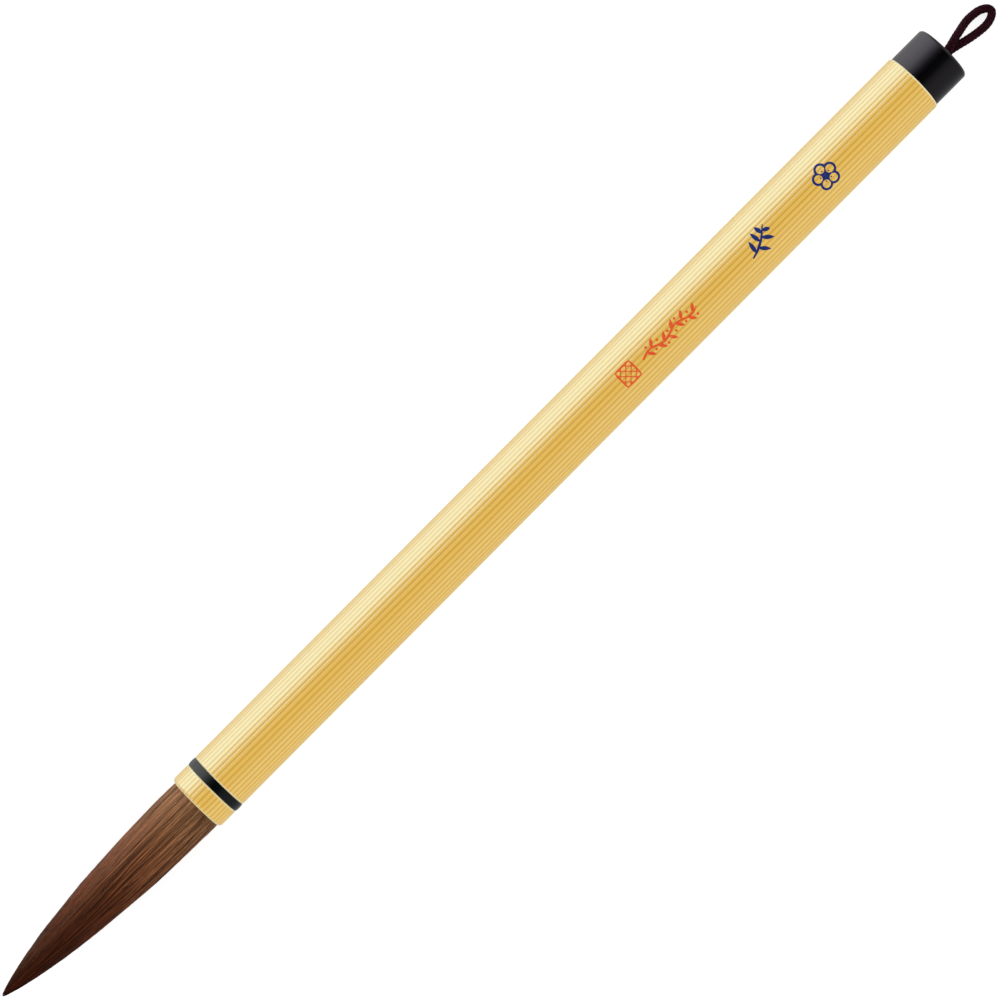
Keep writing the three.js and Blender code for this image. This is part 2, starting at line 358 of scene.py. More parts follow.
class Nodes:
    """Short names for adding nodes to a material or a world."""

    def __init__(self, owner):
        self.nodes = owner.node_tree.nodes
        self.links = owner.node_tree.links

    def add(self, kind, **settings):
        node = self.nodes.new("ShaderNode" + kind)
        for key, value in settings.items():
            setattr(node, key, value)
        return node

    def feed(self, socket, value):
        if isinstance(value, bpy.types.NodeSocket):
            self.links.new(value, socket)
        else:
            socket.default_value = value

    def attribute(self, name):
        return self.add("Attribute", attribute_name=name).outputs["Fac"]

    def background(self, colour, strength):
        node = self.add("Background")
        self.feed(node.inputs["Color"], colour)
        self.feed(node.inputs["Strength"], strength)
        return node.outputs[0]

    def noise(self, scale, stretch=(1, 1, 1), detail=3, rough=0.55):
        """Noise in the object's own space, whose grains are stretched along each axis."""
        mapping = self.add("Mapping")
        self.feed(mapping.inputs["Scale"], [1 / s for s in stretch])
        self.feed(mapping.inputs["Vector"], self.add("TexCoord").outputs["Object"])
        noise = self.add("TexNoise")
        self.feed(noise.inputs["Scale"], scale)
        self.feed(noise.inputs["Detail"], detail)
        self.feed(noise.inputs["Roughness"], rough)
        self.feed(noise.inputs["Vector"], mapping.outputs[0])
        return noise.outputs["Fac"]

    def math(self, operation, a, b=0.0):
        node = self.add("Math", operation=operation)
        self.feed(node.inputs[0], a)
        self.feed(node.inputs[1], b)
        return node.outputs[0]

    def ramp(self, value, stops):
        """A colour for a value, from (position, colour) stops."""
        node = self.add("ValToRGB")
        while len(node.color_ramp.elements) < len(stops):
            node.color_ramp.elements.new(0.5)
        for element, (position, colour) in zip(node.color_ramp.elements, stops):
            element.position = position
            element.color = (*colour, 1)
        self.feed(node.inputs[0], value)
        return node.outputs["Color"]

    def mix(self, share, a, b, blend="MIX"):
        node = self.add("Mix", data_type="RGBA", blend_type=blend)
        self.feed(node.inputs[0], share)
        self.feed(node.inputs[6], a)
        self.feed(node.inputs[7], b)
        return node.outputs[2]

    def spread(self, value, low, high, start=0.0, end=1.0):
        """A value that runs from start to end, as one that runs from low to high."""
        node = self.add("MapRange")
        self.feed(node.inputs["From Min"], start)
        self.feed(node.inputs["From Max"], end)
        self.feed(node.inputs["To Min"], low)
        self.feed(node.inputs["To Max"], high)
        self.feed(node.inputs["Value"], value)
        return node.outputs[0]

    def bump(self, height, strength, distance):
        node = self.add("Bump")
        self.feed(node.inputs["Strength"], strength)
        self.feed(node.inputs["Distance"], distance)
        self.feed(node.inputs["Height"], height)
        return node.outputs[0]


# ---------------------------------------------------------------- materials


def handle_plastic():
    """Honey-yellow extruded plastic with faint streaks, with painted shade darkening its grooves and a
    painted highlight along its cut ends.
    """
    mat, shader = material(
        "handle_plastic",
        (0.82, 0.5, 0.08),
        0.2,
        IOR=2.42,
        Specular_Tint=(0.32, 0.85, 0.98, 1),
        Sheen_Weight=0.4,
        Sheen_Roughness=0.38,
        Sheen_Tint=(0.8, 1, 0.75, 1),
    )
    n = Nodes(mat)
    streaks = n.noise(9000, (400, 1, 1), detail=2)
    clouds = n.noise(120, (4, 1, 1), detail=3)
    groove = n.attribute("groove")
    # Painted shade: the colour darkens towards the bottom of each groove, in place of the shade that falls
    # there.
    shades = [(0.0, (0.91, 0.54, 0.064)), (0.4, (0.84, 0.465, 0.042)), (1.0, (0.59, 0.3, 0.02))]
    ribs = n.mix(n.attribute("shade"), n.ramp(groove, shades), (0.8, 0.42, 0.028, 1))
    warm = n.mix(n.spread(clouds, 0.0, 0.2), ribs, (0.8, 0.44, 0.035, 1))
    streaked = n.mix(n.spread(streaks, 0.0, 0.14), warm, (0.92, 0.66, 0.14, 1))
    # Painted highlight: pale cream along the cut ends, where the chamfers and the collar's lip catch the
    # light.
    n.feed(shader.inputs["Base Color"], n.mix(n.attribute("rim"), streaked, (0.97, 0.86, 0.5, 1)))
    n.feed(shader.inputs["Roughness"], n.spread(streaks, 0.15, 0.26))
    n.feed(shader.inputs["Specular IOR Level"], n.spread(groove, 0.52, 0.44))
    n.feed(shader.inputs["Normal"], n.bump(streaks, 0.1, 0.01 * MM))
    return mat


def cap_plastic():
    """Black moulded plastic with a polished face and the faintest waviness."""
    gloss = {"Specular_IOR_Level": 0.4, "Specular_Tint": (0.92, 0.86, 1, 1)}
    mat, shader = material("cap_plastic", (0.0015, 0.0012, 0.0015), 0.11, **gloss)
    n = Nodes(mat)
    cloudy = n.noise(500, detail=3)
    n.feed(shader.inputs["Base Color"], n.mix(cloudy, (0.001, 0.0008, 0.001, 1), (0.002, 0.0016, 0.002, 1)))
    n.feed(shader.inputs["Roughness"], n.spread(n.noise(2500, detail=4), 0.07, 0.15))
    n.feed(shader.inputs["Normal"], n.bump(n.noise(260, detail=2), 0.05, 0.05 * MM))
    return mat


def ring_plastic():
    mat, shader = material("ring_plastic", (0.002, 0.003, 0.0035), 0.14, Specular_IOR_Level=0.3)
    n = Nodes(mat)
    grain = n.noise(4000, detail=4)
    n.feed(shader.inputs["Roughness"], n.spread(grain, 0.08, 0.2))
    n.feed(shader.inputs["Base Color"], n.mix(grain, (0.0004, 0.001, 0.0012, 1), (0.002, 0.004, 0.0045, 1)))
    n.feed(shader.inputs["Normal"], n.bump(grain, 0.15, 0.01 * MM))
    return mat


def hair(name, painted_shade_factor=1.0):
    """Brown hair, light at the root and nearly black at the tip, each hair with a tone of its own. Its second
    argument, when below 1, darkens it all as painted shade.
    """
    mat, shader = material(name, (0.1, 0.05, 0.03), 0.42, Specular_Tint=(1, 0.5, 0.28, 1))
    n = Nodes(mat)
    along = n.math("ADD", n.attribute("along"), n.spread(n.attribute("tone"), -0.07, 0.07))
    shades = [
        (0.0, (0.018, 0.0045, 0.0018)),
        (0.14, (0.02, 0.004, 0.0014)),
        (0.36, (0.027, 0.0051, 0.0017)),
        (0.58, (0.054, 0.0132, 0.004)),
        (0.8, (0.113, 0.043, 0.0158)),
        (1.0, (0.165, 0.078, 0.032)),
    ]
    base = n.ramp(along, [(p, tuple(painted_shade_factor * c for c in colour)) for p, colour in shades])
    tone = n.math("POWER", n.attribute("tone"), 1.6)
    gain = n.mix(n.attribute("along"), (4.4, 3.9, 3.6, 1), (2.3, 2.35, 2.5, 1))
    pale = n.mix(1.0, base, gain, "MULTIPLY")
    dark = n.mix(1.0, base, (0.3, 0.27, 0.25, 1), "MULTIPLY")
    n.feed(shader.inputs["Base Color"], n.mix(tone, dark, pale))
    n.feed(shader.inputs["Roughness"], n.spread(n.attribute("tone"), 0.3, 0.46))
    n.feed(shader.inputs["Specular IOR Level"], n.spread(n.attribute("along"), 0.12, 1.0))
    return mat


def cord_yarn(name):
    """Dark maroon braided yarn with fine fibres."""
    mat, shader = material(name, (0.028, 0.003, 0.008), 0.7, Specular_IOR_Level=0.04)
    n = Nodes(mat)
    fibres = n.noise(4000, detail=5, rough=0.75)
    shades = [(0.34, (0.003, 0.0006, 0.001)), (0.52, (0.013, 0.0012, 0.004)), (0.7, (0.085, 0.01, 0.024))]
    n.feed(shader.inputs["Base Color"], n.ramp(fibres, shades))
    n.feed(shader.inputs["Roughness"], n.spread(fibres, 0.5, 0.75))
    n.feed(shader.inputs["Normal"], n.bump(fibres, 0.35, 0.03 * MM))
    return mat


def binding_thread():
    mat, shader = material("binding_thread", (0.62, 0.54, 0.4), 0.8)
    n = Nodes(mat)
    fibres = n.noise(12000, detail=4, rough=0.7)
    n.feed(shader.inputs["Base Color"], n.mix(fibres, (0.46, 0.37, 0.24, 1), (0.78, 0.7, 0.54, 1)))
    n.feed(shader.inputs["Normal"], n.bump(fibres, 0.3, 0.02 * MM))
    return mat


def rosin():
    mat, shader = material("rosin", (0.16, 0.06, 0.015), 0.4)
    n = Nodes(mat)
    lumps = n.noise(900, detail=4)
    n.feed(shader.inputs["Base Color"], n.mix(lumps, (0.08, 0.025, 0.006, 1), (0.24, 0.1, 0.03, 1)))
    n.feed(shader.inputs["Roughness"], n.spread(lumps, 0.25, 0.6))
    n.feed(shader.inputs["Normal"], n.bump(lumps, 0.4, 0.1 * MM))
    return mat


def ink(name, thin, full):
    """Printed ink, uneven where the ribs took less of it."""
    mat, shader = material(name, full, 0.4, Specular_IOR_Level=0.2)
    n = Nodes(mat)
    patchy = n.noise(3500, detail=3)
    n.feed(shader.inputs["Base Color"], n.ramp(patchy, [(0.3, thin), (0.5, full)]))
    n.feed(shader.inputs["Roughness"], n.spread(patchy, 0.32, 0.5))
    return mat


# ---------------------------------------------------------------- handle, collar, ring and cap


def rib_twist(x):
    """How far the ribs have turned round the brush at a station."""
    return TWIST * (x - STRAIGHT_X) / (CAP_X - TUBE_X)


def groove_depth(angle, x):
    """0 on a rib's crest and 1 at the bottom of a groove."""
    ribs = (angle - math.pi / 2 - rib_twist(x)) * RIBS / math.tau
    from_crest = ribs - np.round(ribs)
    return ((1 - np.cos(math.tau * from_crest)) / 2) ** RIB_SHARPNESS


def ribbed_radius(angle, x):
    return HANDLE_R - RIB_DEPTH * groove_depth(angle, x)


def ribbed_piece(name, outside, inside, ends, mat):
    """A hollow piece whose outside is ribbed and whose inside is plain.

    Both are lists of sections, (x, radius), in order round the wall. On the outside, no rib reaches past its
    section's radius. ends are the stations of the rims that get a painted highlight. The material reads the
    groove, rim and shade values: it paints shade into the grooves and a highlight along the rims.
    """
    around = np.arange(RIBS * RIB_SAMPLES) * (math.tau / (RIBS * RIB_SAMPLES))
    rng = np.random.default_rng(3)
    shades = np.repeat(RIB_SHADE * rng.random(RIBS) ** 2, RIB_SAMPLES)
    shades = np.roll(shades, -RIB_SAMPLES // 2)
    rows, grooves, rims = [], [], []
    for i, (x, most) in enumerate(outside + inside):
        angle = around + math.pi / 2 + rib_twist(x)
        has_ribs = i < len(outside)
        radius = np.minimum(ribbed_radius(angle, x), most) if has_ribs else np.full(len(around), most)
        rows.append(on_axis(radius, angle, x))
        grooves.append(groove_depth(angle, x) if has_ribs else np.zeros(len(around)))
        # The painted highlight along each end, fading out over RIM.
        to_end = min(abs(x - end) for end in ends)
        rims.append(np.full(len(around), RIM_HIGHLIGHT * max(0, 1 - to_end / RIM) ** 0.6))
    obj = piece(
        name,
        np.concatenate(rows),
        grid_faces(len(rows), len(around), wrap_rows=True),
        groove=np.concatenate(grooves),
        rim=np.concatenate(rims),
        shade=np.tile(shades, len(rows)),
    )
    obj.data.materials.append(mat)
    return smooth(obj, 50)


def chamfered(x, inward):
    """Sections that chamfer a ribbed end. inward is 1 at the end nearest the tip and -1 at the other."""
    steps = np.linspace(0, 1, 6)
    return [(x + inward * CHAMFER_LENGTH * s, HANDLE_R - CHAMFER_DROP * (1 - s)) for s in steps]


def handle_tube(plastic):
    middle = [(x, HANDLE_R) for x in np.linspace(TUBE_X + RIM, CAP_X - RIM, 46)]
    outside = chamfered(TUBE_X, 1) + middle + chamfered(CAP_X, -1)[::-1]
    step_x = TUBE_X + COUNTERBORE_LENGTH
    inside = [(CAP_X, BORE_R), (step_x, BORE_R), (step_x, COUNTERBORE_R), (TUBE_X, COUNTERBORE_R)]
    obj = ribbed_piece("handle_shaft", outside, inside, (TUBE_X, CAP_X), plastic)
    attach(obj, "handle")
    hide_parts("handle_tube")


def ferrule_collar(plastic):
    lip = arc(LIP_X + LIP_ROUND, HANDLE_R - LIP_ROUND, LIP_ROUND, -68, 0, 12)
    straight = [(x, HANDLE_R) for x in np.linspace(LIP_X + LIP_ROUND, RING_X - RIM, 5)[1:]]
    outside = lip + straight + chamfered(RING_X, -1)[::-1]
    inside = [
        (RING_X, SPIGOT_R),
        (SPIGOT_END_X - PLUG_CHAMFER, SPIGOT_R),
        (SPIGOT_END_X, SPIGOT_R - PLUG_CHAMFER),
        (SPIGOT_END_X, SOCKET_R),
        (RING_X, SOCKET_R),
        (lip[0][0], MOUTH_R),
    ]
    obj = ribbed_piece("collar", outside, inside, (LIP_X, RING_X), plastic)
    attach(obj, "handle")
    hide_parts("ferrule_collar")


def ring_band():
    """The black ring, very slightly barrel-shaped and softly rounded at its edges."""
    edge = 0.12 * MM
    inner = SPIGOT_R + RING_GAP
    low = arc(RING_X + edge, HANDLE_R - edge, edge, -90, 0, 4)
    high = arc(TUBE_X - edge, HANDLE_R - edge, edge, 0, 90, 4)
    shares = np.linspace(0, 1, 9)[1:-1]
    width = TUBE_X - RING_X - 2 * edge
    barrel = [(RING_X + edge + width * s, HANDLE_R + RING_CROWN * 4 * s * (1 - s)) for s in shares]
    obj = turned("ring", [(RING_X, inner), *low, *barrel, *high, (TUBE_X, inner)])
    obj.data.materials.append(ring_plastic())
    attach(obj, "handle")
    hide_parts("ring_band")


def end_cap():
    """The knob with its rounded edge, and the stem and bores that nobody sees."""
    soft = 0.08 * MM
    throat = 0.25 * MM
    side_length = END_X - CAP_ROUND - CAP_X
    mouth = [
        (END_X - throat + throat * math.cos(a), CORD_HOLE_R + throat - throat * math.sin(a))
        for a in np.radians([0, 22, 45, 68, 90])
    ]
    profile = [
        (STEM_X, KNOT_ROOM_R),
        (STEM_X, STEM_R - PLUG_CHAMFER),
        (STEM_X + PLUG_CHAMFER, STEM_R),
        (CAP_X, STEM_R),
        (CAP_X, CAP_R - soft),
        *arc(CAP_X + soft, CAP_R - soft, soft, -90, 0, 3)[1:],
        *[(CAP_X + side_length * s, CAP_R) for s in (0.2, 0.5, 0.8)],
        *arc(END_X - CAP_ROUND, CAP_R - CAP_ROUND, CAP_ROUND, 0, 90, 14),
        (END_X, (CAP_R + CORD_HOLE_R) / 2),
        *mouth,
        (KNOT_ROOM_X, CORD_HOLE_R),
        (KNOT_ROOM_X, KNOT_ROOM_R),
    ]
    obj = turned("cap", profile)
    obj.data.materials.append(cap_plastic())
    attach(obj, "handle")
    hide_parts("end_cap")


# ---------------------------------------------------------------- hair


def along_hair(x):
    """0 at the tip and 1 at the collar's lip."""
    return (x - TIP_X) / (LIP_X - TIP_X)


def hair_radius(x):
    reach = np.clip(along_hair(x), 0, 1)
    return HAIR_R * (1 - (1 - reach) ** HAIR_FULLNESS) ** HAIR_POINT


def hair_side(x):
    """How far the middle of the tuft stands to the side of the handle's axis."""
    reach = np.clip((LIP_X - x) / (LIP_X - TIP_X), 0, 1)
    return HAIR_ROOT_SIDE + HAIR_LEAN * reach**LEAN_CURVE


def socket_radius(x):
    """The tuft's radius inside the collar, where it narrows to the bound root."""
    share = np.clip((x - LIP_X) / (BOUND_X - LIP_X), 0, 1)
    return HAIR_R - ROOT_SLIMMING + (BOUND_R - HAIR_R + ROOT_SLIMMING) * share


def ripples(seed, count, finest, drift):
    """A smooth random function, mostly from -1 to 1, of the angle round the tuft and the station along it."""
    rng = np.random.default_rng(seed)
    waves = rng.integers(3, finest, count)
    phases = rng.random(count) * math.tau
    drifts = rng.normal(0, drift / MM, count)

    def value(angle, x):
        total = 0
        for wave, phase, along in zip(waves, phases, drifts):
            total = total + np.cos(wave * angle + phase + along * x)
        return total * math.sqrt(2 / count) / 1.5

    return value


LOCK_HEIGHT = ripples(11, 18, 70, 0.25)
LOCK_TONE = ripples(12, 30, 130, 0.4)
LOCK_SWAY = ripples(13, 10, 26, 0.3)


def hair_surface(angle, x):
    """The radius of the tuft's outside, raised and sunk into fine locks."""
    radius = hair_radius(x)
    return radius + LOCK_DEPTH * LOCK_HEIGHT(angle, x) * np.clip(radius / LOCK_FADE_R, 0, 1)


def hair_bundle():
    """The solid mass of hair under the separate hairs, from just short of the tip to the bound root, coloured
    darker than they are as painted shade.
    """
    outside = LIP_X + (TIP_X + BUNDLE_TIP_GAP - LIP_X) * np.linspace(1, 0, 90)
    inside = np.linspace(LIP_X, ROOT_END_X, 10)[1:]
    x = np.concatenate([outside, inside])[:, None]
    angle = (np.arange(BUNDLE_SIDES) * math.tau / BUNDLE_SIDES)[None, :]
    under = np.minimum(BUNDLE_INSET, BUNDLE_INSET_SHARE * hair_radius(x))
    radius = np.where(x > LIP_X, socket_radius(x) - SOCKET_CLEARANCE, hair_surface(angle, x) - under)
    rings = on_axis(radius, angle, x)
    rings[..., 1] += hair_side(x)
    # A low tone, so that the bundle is darker than the hairs over it: painted shade.
    tone = np.clip(0.25 + 0.2 * LOCK_TONE(angle, x), 0, 1)
    along = np.broadcast_to(along_hair(x), radius.shape)
    obj = piece("hair_bundle", *capped(rings), tone=tone, along=along)
    smooth(obj, 60)
    # Darker than the coat hair: painted shade under the separate hairs.
    obj.data.materials.append(hair("bundle_hair_painted_shade", 0.8))
    bend_hair(obj)
    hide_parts("hair_core", "hair_coat", "hair_root")


def bend_hair(obj):
    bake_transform(obj)


def strand_ends(rng, count):
    """Where hairs end, so that as many are left at each station as its girth has room for."""
    x = np.linspace(TIP_X, LIP_X, 400)
    return np.interp(rng.random(count), hair_radius(x) / HAIR_R, x)


def strand_paths(rng, count, depth, thickness, share):
    """Stations, angles and middles of hairs that follow the tuft's outline from the collar to their own ends.

    share is how far along its hair each step is.
    """
    start = LIP_X + STRAND_ROOT
    end = strand_ends(rng, count)[:, None]
    x = start + (end - start) * share
    angle = (np.arange(count) + rng.random(count)) * math.tau / count
    rng.shuffle(angle)
    angle = angle[:, None]
    reach = hair_radius(np.minimum(x, LIP_X))
    wander = rng.normal(0, STRAND_WANDER, count)[:, None] * np.sin(share * 4 + rng.random(count)[:, None] * 6)
    sway = STRAND_SWAY * LOCK_SWAY(angle, x)
    room = np.clip(reach / STRAND_FADE_R, 0, 1)
    turn = angle + (wander * room + sway * room) / np.maximum(reach, LEAST_REACH)
    deep = (depth * rng.random(count))[:, None]
    radius = hair_surface(turn, x) - (deep + thickness) * room
    radius = np.where(x > LIP_X, np.minimum(radius, HAIR_R - SOCKET_CLEARANCE - deep), radius)
    loose = HAIR_SPREAD * rng.random(count)[:, None] * np.exp((TIP_X - x) / SPREAD_LENGTH)
    middle = on_axis(np.maximum(radius, 0) + loose, turn, x)
    middle[..., 1] += hair_side(x)
    return x, turn, middle


def strand_faces(count):
    """Faces of hairs of four sides, closed at both ends."""
    ends = [[3, 2, 1, 0], np.arange(4) + 4 * (STRAND_STEPS - 1)]
    one = np.concatenate([grid_faces(STRAND_STEPS, 4), ends])
    return (one[None, :, ::-1] + (np.arange(count) * STRAND_STEPS * 4)[:, None, None]).reshape(-1, 4)


def strands(name, seed, count, depth, thickness, mat):
    """Separate hairs that taper to a point. They are lit as if they lay on one smooth tuft."""
    rng = np.random.default_rng(seed)
    share = np.linspace(0, 1, STRAND_STEPS)[None, :] ** 0.9
    x, turn, middle = strand_paths(rng, count, depth, thickness, share)
    outward = np.stack([np.zeros_like(turn), np.cos(turn), np.sin(turn)], axis=-1)
    sideways = np.stack([np.zeros_like(turn), -np.sin(turn), np.cos(turn)], axis=-1)
    corners = [a * outward + b * sideways for a, b in ((1, 0), (0, 1), (-1, 0), (0, -1))]
    slim = thickness * (0.75 + 0.5 * rng.random(count))[:, None]
    half = (slim * np.clip((1 - share) * 6, 0.06, 1) ** 0.7)[..., None]
    points = np.stack([middle + half * corner for corner in corners], axis=2)
    tones = 0.5 + 0.42 * LOCK_TONE(turn, x) + 0.22 * (rng.random(count)[:, None] * 2 - 1)
    tone = np.broadcast_to(np.clip(tones, 0, 1)[..., None], points.shape[:3])
    along = np.broadcast_to(along_hair(x)[..., None], points.shape[:3])
    obj = piece(name, points.reshape(-1, 3), strand_faces(count), tone=tone, along=along)
    smooth(obj, 180)
    normals = np.stack([outward + HAIR_ROUNDNESS * corner for corner in corners], axis=2).reshape(-1, 3)
    normals = normals / np.linalg.norm(normals, axis=1)[:, None]
    obj.data.normals_split_custom_set_from_vertices(normals.tolist())
    obj.data.materials.append(mat)
    bend_hair(obj)


def tuft():
    hair_bundle()
    coat = hair("coat_hair")
    strands("coat_strands_a", 21, 1400, 0.26 * MM, 0.055 * MM, coat)
    strands("coat_strands_b", 22, 1400, 0.16 * MM, 0.045 * MM, coat)
    strands("coat_strands_c", 23, 1200, 0.05 * MM, 0.04 * MM, coat)


# ---------------------------------------------------------------- printed ornaments

INK_PROUD = 0.015 * MM
INK_DEPTH = 0.04 * MM
INK_SIDE = -0.63 * MM  # of every ornament, towards +Y, measured round the handle from its top
INK_CELL = 0.07  # mm
FAR_OUTSIDE = -9.0  # mm

# An ornament says how far inside its lines each place is, in mm: u is along the handle and v is across it.


def tapered_stroke(u, v, points, widths, smoothness=6):
    """How far inside a brush stroke each place is. widths are half widths, one for each point."""
    line = catmull(np.array([(a, b, w) for (a, b), w in zip(points, widths)], float), smoothness)
    inside = np.full(u.shape, FAR_OUTSIDE)
    for (ua, va, wa), (ub, vb, wb) in zip(line, line[1:]):
        du, dv = ub - ua, vb - va
        share = np.clip(((u - ua) * du + (v - va) * dv) / (du * du + dv * dv), 0, 1)
        gap = np.hypot(u - ua - share * du, v - va - share * dv)
        inside = np.maximum(inside, wa + (wb - wa) * share - gap)
    return inside


def leaf(u, v, start, end, width):
    """A stroke that swells and ends in a point."""
    places = np.linspace(0, 1, 5)
    points = [(start[0] + (end[0] - start[0]) * s, start[1] + (end[1] - start[1]) * s) for s in places]
    return tapered_stroke(u, v, points, [width * w for w in (0.15, 0.8, 1, 0.65, 0.05)], 3)


def five_dots(u, v, distance, radius):
    """Five dots at a distance from the middle."""
    turns = math.pi / 2 + np.arange(5) * math.tau / 5
    places = [(distance * math.cos(a), distance * math.sin(a)) for a in turns]
    return np.max([radius - np.hypot(u - a, v - b) for a, b in places], axis=0)


def blossom(u, v):
    """Five round petals drawn in outline round a dot."""
    petals = five_dots(u, v, 1.48, 0.98)
    stamens = five_dots(u, v, 1.02, 0.14)
    return np.maximum.reduce([0.22 - np.abs(petals), stamens, 0.3 - np.hypot(u, v)])


def spray(u, v):
    """A bent stem with leaves to both sides."""
    stem = [(-2.9, -1.3), (-1.2, -0.7), (0.7, 0.4), (2.4, 1.9)]
    inside = tapered_stroke(u, v, stem, [0.14, 0.24, 0.2, 0.1])
    for start, end in (
        ((-1.9, -1.0), (-1.5, 1.5)),
        ((-1.0, -0.6), (0.6, -2.4)),
        ((0.0, 0.0), (-0.3, 2.4)),
        ((0.7, 0.4), (2.5, -1.2)),
        ((1.3, 0.9), (1.0, 2.7)),
        ((1.7, 1.2), (3.0, 0.5)),
    ):
        inside = np.maximum(inside, leaf(u, v, start, end, 0.4))
    return inside


def sprig(u, v):
    """A long waving stem with small leaves on alternate sides and round buds between them."""
    stem = [(a, 0.45 * math.sin(0.95 * a)) for a in np.linspace(-6.8, 6.6, 12)]
    inside = tapered_stroke(u, v, stem, [0.2] * 11 + [0.07])
    for i, (a, b) in enumerate(stem[1:-1]):
        side = 1 if i % 2 else -1
        inside = np.maximum(inside, leaf(u, v, (a, b), (a + 1.15, b + side * 1.5), 0.33))
        inside = np.maximum(inside, 0.24 - np.hypot(u - a - 0.5, v - b + side * 0.8))
    return inside


def seal(u, v):
    """A rounded square frame round a lattice of crossing lines."""
    edge = np.maximum(np.abs(u), np.abs(v)) + 0.25 * np.clip(np.abs(u) + np.abs(v) - 3, 0, 9)
    frame_line = 0.16 - np.abs(edge - 1.75)
    weave = [0.09 - np.abs((u + s * v) / 1.414 % 0.95 - 0.475) for s in (1, -1)]
    lattice = np.minimum(np.maximum(*weave), 1.6 - edge)
    return np.maximum(frame_line, lattice)


def cut_out(field, length, width):
    """Flat polygons covering the part of a rectangle where a field is above zero, smooth along its edge."""
    u = np.arange(-length / 2, length / 2 + INK_CELL, INK_CELL)
    v = np.arange(-width / 2, width / 2 + INK_CELL, INK_CELL)
    places = np.stack(np.meshgrid(u, v, indexing="ij"), axis=-1)
    inside = field(places[..., 0], places[..., 1])
    cell_corners = [inside[:-1, :-1], inside[1:, :-1], inside[1:, 1:], inside[:-1, 1:]]
    touched = np.maximum.reduce(cell_corners) > 0
    points, known, faces = [], {}, []

    def point(a, b):
        """The number of the point on the edge between two grid places, or at one if both are the same."""
        key = (min(a, b), max(a, b))
        if key not in known:
            share = 0 if a == b else inside[a] / (inside[a] - inside[b])
            known[key] = len(points)
            points.append(places[a] + share * (places[b] - places[a]))
        return known[key]

    for i, j in zip(*np.nonzero(touched)):
        corners = [(i, j), (i + 1, j), (i + 1, j + 1), (i, j + 1)]
        face = []
        for a, b in zip(corners, corners[1:] + corners[:1]):
            if inside[a] > 0:
                face.append(point(a, a))
            if (inside[a] > 0) != (inside[b] > 0):
                face.append(point(a, b))
        faces.append(face)
    return np.array(points), faces


def printed(name, field, x, size, mat):
    """A thin closed layer of ink that follows the ribs."""
    flat, faces = cut_out(field, *size)
    station = x + flat[:, 0] * MM
    angle = math.pi / 2 - (INK_SIDE + flat[:, 1] * MM) / HANDLE_R
    over = ribbed_radius(angle, station) + INK_PROUD
    points = np.concatenate([on_axis(over, angle, station), on_axis(over - INK_DEPTH, angle, station)])
    edges = {(a, b) for face in faces for a, b in zip(face, face[1:] + face[:1])}
    count = len(flat)
    walls = [(b, a, a + count, b + count) for a, b in sorted(edges) if (b, a) not in edges]
    under = [[i + count for i in reversed(face)] for face in faces]
    obj = piece(name, points, faces + under + walls)
    smooth(obj, 50)
    obj.data.materials.append(mat)
    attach(obj, "handle")


def ornaments():
    blue = ink("blue_ink", (0.02, 0.04, 0.16), (0.005, 0.016, 0.14))
    red = ink("red_ink", (0.74, 0.17, 0.03), (0.68, 0.07, 0.014))
    printed("blue_blossom", blossom, 88.5 * MM, (5.6, 5.6), blue)
    printed("blue_spray", spray, 71.8 * MM, (6.6, 5.8), blue)
    printed("red_sprig", sprig, 48.9 * MM, (15, 4.6), red)
    printed("red_seal", seal, 38.3 * MM, (4.2, 4.2), red)


# ---------------------------------------------------------------- cord


def catmull(points, steps):
    """Points on a smooth curve through a list of points, with a number of steps from each to the next."""
    p = np.concatenate([2 * points[:1] - points[1:2], points, 2 * points[-1:] - points[-2:-1]])
    t = np.linspace(0, 1, steps, endpoint=False)[:, None]
    found = []
    for a, b, c, d in zip(p, p[1:], p[2:], p[3:]):
        squared = (2 * a - 5 * b + 4 * c - d) * t**2
        cubed = (3 * b - a - 3 * c + d) * t**3
        found.append(0.5 * (2 * b + (c - a) * t + squared + cubed))
    return np.concatenate([*found, p[-2:-1]])


def distances(line):
    """How far along a line each of its points is."""
    return np.concatenate([[0], np.cumsum(np.linalg.norm(np.diff(line, axis=0), axis=1))])


def smooth_route(points, step):
    """Evenly spaced points on a smooth curve through a list of points."""
    line = catmull(np.array(points, float), 12)
    along = distances(line)
    at = np.linspace(0, along[-1], int(along[-1] / step) + 1)
    return np.stack([np.interp(at, along, line[:, k]) for k in range(3)], axis=1)


def cross_directions(line):
    """Two directions across a line at each of its points, carried along it without spin.

    The line mustn't start straight up.
    """
    tangent = np.gradient(line, axis=0)
    tangent /= np.linalg.norm(tangent, axis=1)[:, None]
    across = np.zeros_like(line)
    first = np.cross(tangent[0], (0, 0, 1.0))
    across[0] = first / np.linalg.norm(first)
    for i in range(1, len(line)):
        kept = across[i - 1] - tangent[i] * (across[i - 1] @ tangent[i])
        across[i] = kept / np.linalg.norm(kept)
    return across, np.cross(tangent, across)


def rings_round(line, radius, a, b, sides):
    """Rings of points round a line. a and b are directions across it, and their lengths scale the radius."""
    angle = (np.arange(sides) * math.tau / sides)[None, :, None]
    return line[:, None] + radius * (np.cos(angle) * a[:, None] + np.sin(angle) * b[:, None])


def yarn(line, across, radius, way, number):
    """One flat yarn, winding round a cord's middle line and rising where it crosses over the others."""
    along = distances(line)
    pitch = PITCH * radius
    turn = way * math.tau * along / pitch + number * math.tau / YARNS
    wave = way * np.cos(YARNS * math.tau * along / pitch)
    out = np.cos(turn)[:, None] * across[0] + np.sin(turn)[:, None] * across[1]
    path = line + out * (radius * (YARN_MIDDLE + YARN_RISE * wave))[:, None]
    wide = np.cross(np.gradient(path, axis=0), out)
    wide /= np.linalg.norm(wide, axis=1)[:, None]
    return capped(rings_round(path, YARN_HALF_WIDTH * radius, out * YARN_FLATNESS, wide, 10))


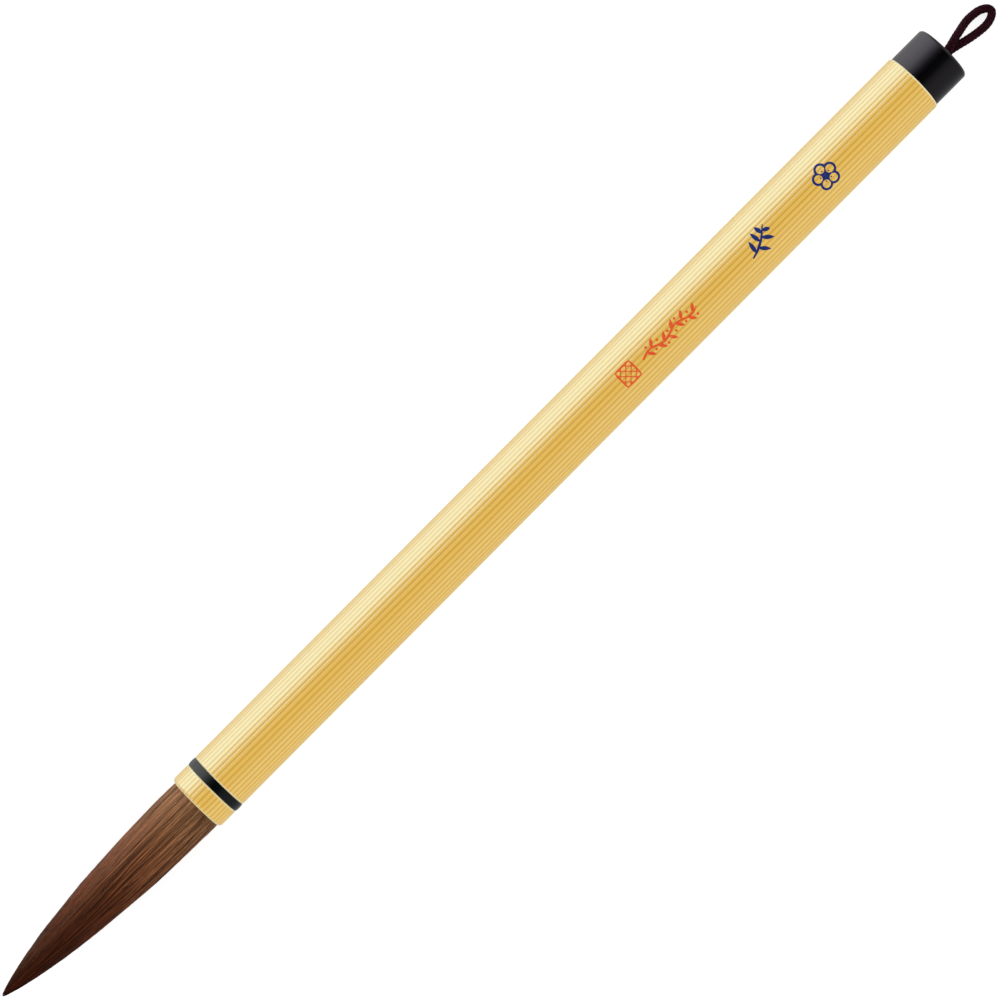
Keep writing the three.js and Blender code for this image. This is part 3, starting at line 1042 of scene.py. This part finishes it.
def braid(name, line, radius):
    """A round cord of yarns wound both ways, each over one and under the next, on a plain core."""
    core = line[::3]
    across = cross_directions(line)
    parts = [capped(rings_round(core, CORE_R * radius, *cross_directions(core), 16))]
    for way in (1, -1):
        parts += [yarn(line, across, radius, way, number) for number in range(YARNS)]
    points, faces, used = [], [], 0
    for part_points, part_faces in parts:
        points.append(part_points)
        faces += [tuple(i + used for i in face) for face in part_faces]
        used += len(part_points)
    return smooth(piece(name, np.concatenate(points), faces), 70)


def hanging_cord():
    """One cord from the knot out through the cap's hole, round the loop and back to the knot."""
    out, back = [[(x, CORD_Y / MM + y, z) for x, y, z in route] for route in (ROUTE_OUT, ROUTE_BACK)]
    line = smooth_route(np.array(out + ROUTE + back) * MM, ROUTE_STEP)
    obj = braid("cord", line, CORD_R)
    obj.data.materials.append(cord_yarn("cord_yarn"))
    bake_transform(obj)
    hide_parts("hanging_loop", "cord_tails")
    cord_knot()


def cord_knot():
    """The knot in the cap's bore: the same braid drawn into a tight trefoil."""
    centre = np.array((KNOT_LOW + KNOT_HIGH) / 2)
    size = (KNOT_HIGH.z - KNOT_LOW.z) / 2 - CORD_R
    t = np.linspace(0, math.tau, 160)
    big = 0.62 * size
    small = 0.38 * size
    ring = big + small * np.cos(3 * t)
    trefoil = np.stack([small * 2.2 * np.sin(3 * t), ring * np.cos(2 * t), ring * np.sin(2 * t)], axis=1)
    obj = braid("knot", trefoil + centre, 0.46 * CORD_R)
    obj.data.materials.append(cord_yarn("knot_yarn"))
    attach(obj, "handle")
    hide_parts("cord_knot")
    return obj


# ---------------------------------------------------------------- everything


def finish_cad_node(name, mat):
    """Keeps a CAD node's own shape, with a material."""
    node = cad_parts[name]
    node.data.materials.clear()
    node.data.materials.append(mat)
    smooth(node, 35)


camera()
table_top()
room()
soft_lamp("main_lamp", (0.1, 0.9, 1.7), 1.4, 4)
soft_lamp("fill_lamp", (0, -1.6, 0.7), 1.2, 4)
hanging_cord()
honey_plastic = handle_plastic()
handle_tube(honey_plastic)
ferrule_collar(honey_plastic)
ring_band()
end_cap()
ornaments()
tuft()
finish_cad_node("root_thread", binding_thread())
finish_cad_node("root_seal", rosin())

bpy.context.scene.view_settings.view_transform = "Standard"
